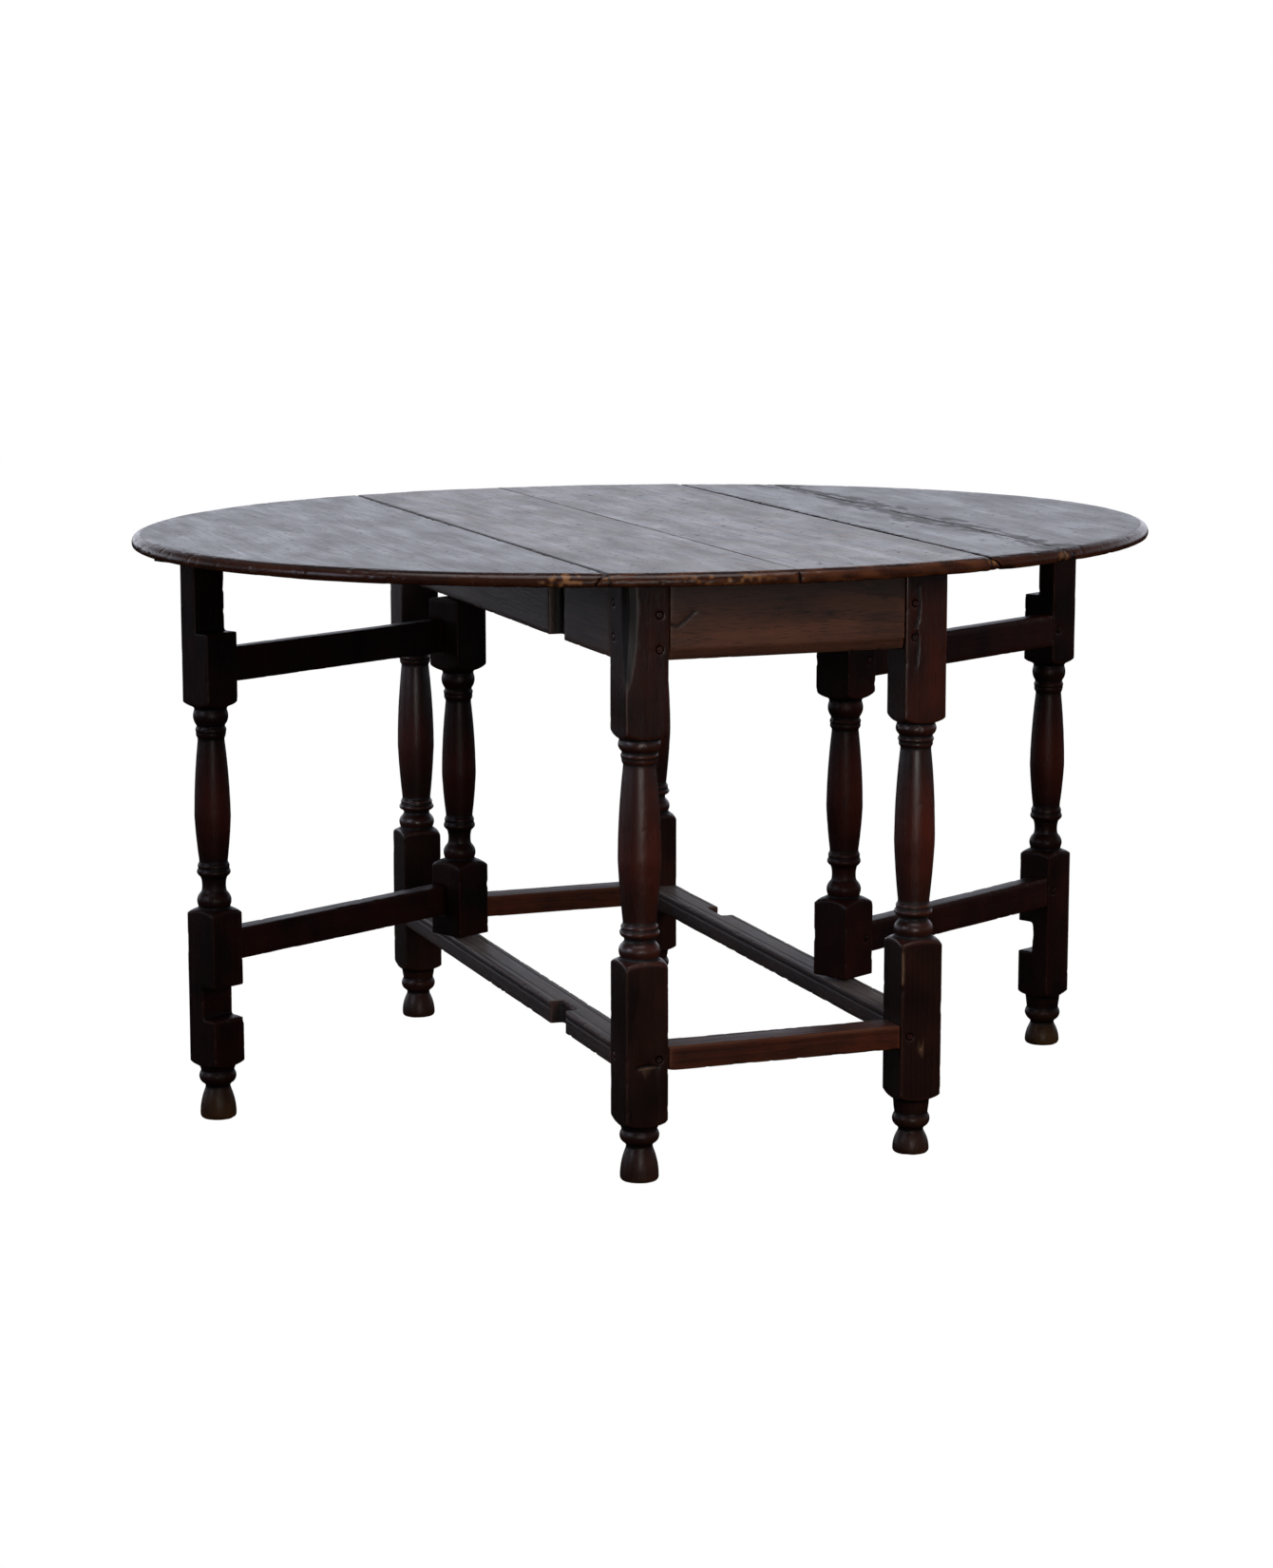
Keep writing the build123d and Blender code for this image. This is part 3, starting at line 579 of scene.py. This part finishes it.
# Low rails are kicked and rubbed; the long side ones also keep a grey coat of dust on top.
rail_oak = oak("rubbed_oak_end_stretcher", "#30140b", "#120704", "#57250f", "#593421", gloss=0.34,
               relief=0.3, dusty=0.03, contrast=0.85, scuffed=0.2, shine=0.22, wax=0.05)
dusty_oak = oak("dusty_oak_side_stretcher", "#271610", "#100806", "#3c2118", "#533526", gloss=0.38,
                relief=0.3, dusty=0.5, contrast=0.85, scuffed=0.2)

# %% [markdown]
# ## Making a piece
#
# Each piece goes through the same steps: a fine copy, age, its finish, and its place on
# the body that carries it. The seat is the straight frame a piece is worked in: the gates stand
# at an angle, and a remesh along their own length keeps their edges clean.

# %% Where the pegs are
straight = Matrix.Identity(4)


def peg_lines(node, seat):
    """The centre line of each peg in a CAD node, in mm, in the seat's frame."""
    form = bmesh.new()
    form.from_mesh(frame["nodes"][node].data)
    bmesh.ops.remove_doubles(form, verts=form.verts, dist=1e-6)
    form.transform(seat.inverted())
    waiting, lines = set(form.verts), []
    while waiting:
        peg, border = [], [waiting.pop()]
        while border:
            vert = border.pop()
            peg.append(vert.co * 1000)
            linked = {edge.other_vert(vert) for edge in vert.link_edges} & waiting
            waiting -= linked
            border.extend(linked)
        low, high = np.min(peg, axis=0), np.max(peg, axis=0)
        run = np.where(high - low == (high - low).max(), (high - low) / 2, 0)
        lines.append(((low + high) / 2 - run, (low + high) / 2 + run))
    form.free()
    return lines


frame_pegs = peg_lines("apron_pegs", straight) + peg_lines("stretcher_pegs", straight)
print("pegs in the stand", len(frame_pegs))

# %% One piece
pieces = {}


def everywhere(points, facing):
    """A mark over the whole piece."""
    return np.ones(len(points))


def worked(node, material, slot, along, face=2.0, keep=0.6, seat=straight, marks=(), pegs=(),
           **wear):
    """Makes, wears, finishes and places the visible piece of one CAD node."""
    def by_a_peg(points, facing):
        return np.max([near_line(points, line, 9) for line in pegs], axis=0) * 2

    if pegs:
        marks = tuple(marks) + (("calm", 0.85, by_a_peg),)
    seed = 100 + sorted(frame["nodes"]).index(node)
    piece = fine_copy(("iron_" if slot == "hinge_iron" else "oak_") + node, node, face, seat)
    aged(piece, along, seed, marks=marks, **wear)
    finished(piece, along, seed, seat, keep)
    piece.data.materials.append(material)
    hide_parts(node)
    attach(piece, body_of_node[node])
    pieces[node] = piece
    print(piece.name, len(piece.data.polygons), "faces")
    return piece


# %% [markdown]
# ## Four legs
#
# Each leg is one billet: square where rails are joined into it, turned between and below. The
# vase is rubbed red by knees and hands, and the rings stay black.

# %% Marks on the legs
def vase_rub(points, facing):
    """Most rub is at the belly of the vase."""
    z = points[:, 2]
    return np.clip(1 - np.abs(z - 405) / 75, 0, 1) * (0.4 + 0.6 * hills(points, (20, 20, 60), 5))


def foot_rub(points, facing):
    """Feet are knocked pale near the floor."""
    return np.clip((50 - points[:, 2]) / 45, 0, 1) * (0.3 + 0.7 * hills(points, 14, 6))


def at(centre, reach):
    """A mark round one point."""
    return lambda points, facing: near(points, centre, reach)


def on_line(line, reach):
    """A mark along a line."""
    return lambda points, facing: near_line(points, line, reach)


leg_marks = (("rubbed", 0.9, vase_rub), ("raw", 0.06, foot_rub))
# Marks are placed in mm: across the table, along it, and up from the floor.
outer, front, _ = (1000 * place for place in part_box("leg_front_left")[0])
own_marks = {
    # A long bruise down the outer corner, and a chip with scratches under it near the floor.
    "leg_front_left": (
        ("cut", 6.0, at((outer, front, 680), (15, 15, 95))),
        ("grime", 0.9, at((outer, front, 680), (17, 17, 100))),
        ("cut", 1.8, on_line([(-188, front, 142), (-176, front, 144), (-163, front, 142)], 3.2)),
        ("raw", 0.7, on_line([(-186, front, 141), (-165, front, 142)], 2.2)),
    ),
    # A shake has opened through both pegs, and an arris has been knocked pale.
    "leg_front_right": (
        ("cut", 2.6, on_line([(164, front, 694), (166, front, 668), (162, front, 646)], 2.4)),
        ("cut", 2.2, on_line([(163, front, 640), (165, front, 622), (163, front, 600)], 2.2)),
        ("raw", 0.7, on_line([(150, front, 252), (151, front, 236), (150, front, 216)], 3.0)),
        ("raw", 0.7, at((176, front, 133), (4, 4, 4))),
        ("rubbed", 0.5, at((188, front, 585), (18, 8, 60))),
    ),
}
print("front faces of the legs at", round(front), "mm")

# %% Legs
LOW_BLOCK_TOP = 0.262

for side in ("left", "right"):
    for end in ("front", "back"):
        leg = f"leg_{end}_{side}"
        piece = worked(leg, turned_oak, "turned_oak", "Z", face=1.3, keep=0.3, pegs=frame_pegs,
                       marks=leg_marks + own_marks.get(leg, ()))
        # Faces below the top of the lower block take the blacker copy: painted shade towards the
        # floor.
        piece.data.materials.append(low_oak_painted_shade)
        for polygon in piece.data.polygons:
            polygon.material_index = int(polygon.center.z < LOW_BLOCK_TOP)

# %% [markdown]
# ## Aprons and stretchers
#
# The aprons are wide planed boards under the top, and the stretchers are low square rails with
# a line scratched along each arris. Their tenons go into the legs, and only the faces between
# the legs show.

# %% Aprons
apron_marks = {
    "apron_front": (
        ("cut", 1.8, on_line([(-150, front, 663), (-139, front, 660), (-128, front, 668),
                              (-118, front, 676)], 2.4)),
        ("grime", 0.9, at((52, front, 667), (10, 6, 8))),
        ("grime", 0.8, at((110, front, 699), (7, 6, 6))),
        ("rubbed", 0.7, at((-30, front, 646), (140, 25, 26))),
    ),
}
for place, along in (("front", "X"), ("back", "X"), ("left", "Y"), ("right", "Y")):
    worked("apron_" + place, planed_oak, "apron_oak", along, face=2.0, keep=0.35, uneven=0.6,
           marks=apron_marks.get("apron_" + place, ()))

# %% Stretchers
def scratched_lines(across):
    """Two fine grooves along a rail's top and one on its side, each 9 mm in from an arris."""
    inset, width = 9, 40

    def mark(points, facing):
        from_outside = np.abs(points[:, across]).max() - np.abs(points[:, across])
        from_inside = width - from_outside
        top = np.minimum(np.abs(from_outside - inset), np.abs(from_inside - inset))
        side = np.abs(points[:, 2].max() - points[:, 2] - inset)
        on_side = np.abs(facing[:, across]) > 0.7
        gap = np.where(facing[:, 2] > 0.7, top, np.where(on_side, side, inset))
        return np.clip(1 - gap / 1.8, 0, 1)
    return mark


for place in ("front", "back"):
    worked("stretcher_" + place, rail_oak, "rail_oak", "X", face=1.6, keep=0.35, arris=0.9,
           bites=1.0, marks=(("cut", 0.3, scratched_lines(across=1)),))
for place in ("left", "right"):
    worked("stretcher_" + place, dusty_oak, "rail_oak", "Y", face=1.6, keep=0.35, arris=0.9,
           bites=1.0, marks=(("cut", 0.9, scratched_lines(across=0)),))

# %% [markdown]
# ## Two gates
#
# A gate is a small frame: a hanging post that turns on two pins, a leg at the far end, and two
# rails. It is worked in its own straight frame, with X along the gate.

# %% Gates
for side, turn, pivot in (("left", -153, (-0.19, 0.203, 0)), ("right", 27, (0.19, -0.203, 0))):
    seat = Matrix.Translation(pivot) @ Matrix.Rotation(math.radians(turn), 4, "Z")
    pegs = peg_lines(f"gate_{side}_pegs", seat)
    # The gates take the darker copy of the oak: painted shade for their place under the leaves.
    worked(f"gate_{side}_post", gate_oak_painted_shade, "turned_oak", "Z", face=1.4, keep=0.35, seat=seat,
           pegs=pegs, marks=(("rubbed", 0.8, vase_rub),))
    worked(f"gate_{side}_leg", gate_oak_painted_shade, "turned_oak", "Z", face=1.4, keep=0.35, seat=seat,
           pegs=pegs, marks=(("rubbed", 0.9, vase_rub), ("raw", 0.1, foot_rub)))
    for rail in ("upper", "lower"):
        worked(f"gate_{side}_{rail}_rail", gate_oak_painted_shade, "rail_oak", "X", face=1.8, keep=0.4, seat=seat)
    for small in ("pegs", "upper_pivot", "lower_pivot"):
        worked(f"gate_{side}_{small}", gate_oak_painted_shade, "pegs", "Z", face=1.5, keep=0.6, seat=seat,
               uneven=0.1, arris=0.1, bites=0.1, marks=(("calm", 1, everywhere),))

# %% [markdown]
# ## The top
#
# Five boards make the oval. Their upper faces are scraped and polished, the rim is moulded, and
# the undersides are left from the saw, so each board carries three finishes.

# %% Faces of the boards
half_length, half_width = -cad_box[0][0], cad_box[1][1]
RIM_WIDTH = 0.0105


def share_out_finishes(piece):
    """Gives each face of a board its finish by where it is and which way it faces."""
    mesh = piece.data
    for finish in (moulded_rim, sawn_oak):
        mesh.materials.append(finish)
    count = len(mesh.polygons)
    middle, normal = np.empty(count * 3, np.float32), np.empty(count * 3, np.float32)
    mesh.polygons.foreach_get("center", middle)
    mesh.polygons.foreach_get("normal", normal)
    middle, normal = middle.reshape(-1, 3), normal.reshape(-1, 3)
    oval = np.hypot(middle[:, 0] / (half_length - RIM_WIDTH),
                    middle[:, 1] / (half_width - RIM_WIDTH))
    choice = np.where(oval > 1, 1, np.where(normal[:, 2] > 0.6, 0, 2))
    mesh.polygons.foreach_set("material_index", choice.astype(np.int32))
    mesh.update()


# %% Joints and the marks along them
hinge_x = 500 * sum(corner.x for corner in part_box("hinge_right_front_pin"))
centre_joint_x = 1000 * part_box("centre_board_left")[1].x
leaf_joint_x = 1000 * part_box("leaf_right_inner_board")[1].x
print("joints across the top, mm", round(hinge_x, 1), round(centre_joint_x), round(leaf_joint_x))


def hinge_line(points, facing):
    """The rule joints have opened a little and hold dirt."""
    return np.clip(1 - np.abs(np.abs(points[:, 0]) - hinge_x) / 3.0, 0, 1)


def glue_line(x, width):
    """A mark that fades over width mm on both sides of a joint at x."""
    return lambda points, facing: np.clip(1 - np.abs(points[:, 0] - x) / width, 0, 1)


def tight_joint(points, facing):
    """The meeting faces of two glued boards, which are swollen tight together."""
    gap = np.minimum(np.abs(points[:, 0] - centre_joint_x), np.abs(points[:, 0] - leaf_joint_x))
    return (gap < 2.5) * np.abs(facing[:, 0])


def rough_band(points, facing):
    """A ragged strip along the right leaf's joint, where the polish has come away."""
    ragged = hills(points, (9, 28, 9), 31) * 0.6 + hills(points, (4, 9, 4), 32) * 0.4
    middle = leaf_joint_x + 22 * (hills(points, 260, 36) - 0.5)
    reach = 1 - np.abs(points[:, 0] - middle) / (12 + 40 * hills(points, 90, 33))
    return np.clip(reach, 0, 1) ** 0.5 * np.clip(ragged * 5 - 2.0, 0, 1)


# %% Marks on the rim
def rim_rub(points, facing):
    """Sleeves and hands have rubbed the rim of the two middle boards through to brown."""
    middle = np.clip((245 - np.abs(points[:, 0])) / 30, 0, 1)
    return middle * np.clip(hills(points, (22, 8, 6), 34) * 2.2 - 0.8, 0, 1)


def flaked(centre, reach):
    """Polish flaked off in small spots."""
    def mark(points, facing):
        spots = np.clip(hills(points, 5, 35) * 5 - 2.6, 0, 1)
        return np.clip(near(points, centre, reach) * 2, 0, 1) * spots
    return mark


# %% Boards of the top
top_marks = (
    ("cut", 0.6, hinge_line), ("grime", 0.6, hinge_line),
    ("calm", 0.9, glue_line(centre_joint_x, 14)), ("calm", 0.6, glue_line(leaf_joint_x, 14)),
    ("cut", -0.6, tight_joint), ("grime", 0.3, glue_line(leaf_joint_x, 2.4)),
    ("grime", 0.95, rough_band), ("cut", 0.5, rough_band),
    ("rubbed", 0.9, rim_rub), ("raw", 0.12, rim_rub),
    ("raw", 1.0, flaked((-285, -498, 722), (52, 18, 12))),
    ("raw", 0.8, flaked((-120, -543, 722), (90, 14, 8))),
    ("raw", 0.9, at((-240, -513, 726), (8, 9, 5))),
    ("raw", 1.0, at((241, -513, 725), (9, 9, 6))),
    ("cut", 9.0, at((268, -509, 711), (36, 12, 8))),
    ("raw", 0.5, at((268, -509, 713), (34, 12, 6))),
    ("raw", 0.9, at((360, -462, 722), (15, 10, 8))),
    ("cut", 2.0, at((-21, -552, 722), (4, 6, 12))),
)
for board in ("centre_board_left", "centre_board_right", "leaf_left_board",
              "leaf_right_inner_board", "leaf_right_outer_board"):
    share_out_finishes(worked(board, waxed_top, "top_oak", "Y", face=1.8, keep=0.25, uneven=0.7,
                              arris=0.5, marks=top_marks))

# %% [markdown]
# ## Small timber
#
# Pegs stand a little proud of the legs, because the wood around them has shrunk. Stops, glue
# blocks and dowels are under the top.

# %% Pegs, stops, blocks and dowels
for node in ("apron_pegs", "stretcher_pegs"):
    worked(node, turned_oak, "pegs", "Z", face=1.3, keep=0.6, uneven=1.0, arris=0.4, bites=0.1,
           marks=(("calm", 0.8, everywhere),))
for node in ("glue_blocks", "leaf_left_stop", "leaf_right_stop"):
    worked(node, sawn_oak, "stop", "Y", face=2.2, keep=0.5)
for node in ("centre_board_dowels", "leaf_right_dowels"):
    worked(node, sawn_oak, "pegs", "X", face=1.5, keep=0.5, uneven=0.1)

# %% [markdown]
# ## Wrought iron
#
# The hinges were hammered from bar and blackened. A hammered face catches the light in soft
# flats, with rust in the low places.

# %% Iron
def wrought_iron(name):
    material = bpy.data.materials.new(name)
    material.use_nodes = True
    tree = material.node_tree
    tree.nodes.clear()
    grain = add(tree, "ShaderNodeAttribute", {"attribute_name": "grain"})
    flats = add(tree, "ShaderNodeTexVoronoi", {"Scale": 1 / 6, "feature": "SMOOTH_F1"},
                {"Vector": grain.outputs["Vector"]})
    scale = add(tree, "ShaderNodeTexNoise", {"Scale": 1 / 4, "Detail": 5.0},
                {"Vector": grain.outputs["Vector"]})
    rust_share = add(tree, "ShaderNodeMapRange", {"From Min": 0.5, "From Max": 0.7},
                     {"Value": scale.outputs[0]})
    colour = add(tree, "ShaderNodeMix",
                 {"data_type": "RGBA", 6: linear("#1c1a19"), 7: linear("#2e1a12")},
                 {0: rust_share.outputs[0]})
    metal = add(tree, "ShaderNodeMapRange", {"To Min": 0.85, "To Max": 0.2},
                {"Value": rust_share.outputs[0]})
    rough = add(tree, "ShaderNodeMapRange", {"To Min": 0.45, "To Max": 0.85},
                {"Value": rust_share.outputs[0]})
    relief = add(tree, "ShaderNodeMath", {"operation": "MULTIPLY_ADD", 1: 0.4},
                 {0: scale.outputs[0], 2: flats.outputs["Distance"]})
    bump = add(tree, "ShaderNodeBump", {"Strength": 0.6, "Distance": 0.0005},
               {"Height": relief.outputs[0]})
    shader = add(tree, "ShaderNodeBsdfPrincipled", {},
                 {"Base Color": colour.outputs[2], "Metallic": metal.outputs[0],
                  "Roughness": rough.outputs[0], "Normal": bump.outputs[0]})
    add(tree, "ShaderNodeOutputMaterial", {}, {"Surface": shader.outputs[0]})
    return material


blackened_iron = wrought_iron("wrought_iron_blackened")
for side in ("left", "right"):
    for end in ("front", "back"):
        for part in ("fixed", "moving", "pin"):
            worked(f"hinge_{side}_{end}_{part}", blackened_iron, "hinge_iron", "X", face=1.0,
                   keep=0.5, uneven=0.2, arris=0.3, bites=0.2)
for node in ("hinge_nails_centre", "hinge_nails_left_leaf", "hinge_nails_right_leaf"):
    worked(node, blackened_iron, "hinge_iron", "Z", face=0.8, keep=0.5, uneven=0.1, arris=0.2,
           bites=0.1)

# %% [markdown]
# ## Last look
#
# It counts the faces of all pieces and lists the CAD nodes that were not remade. The
# visual model has to stay inside the CAD model's box.

# %% Sizes
print("faces in all", sum(len(p.data.polygons) for p in pieces.values()))
print("nodes not remade", sorted(set(frame["nodes"]) - set(pieces)))
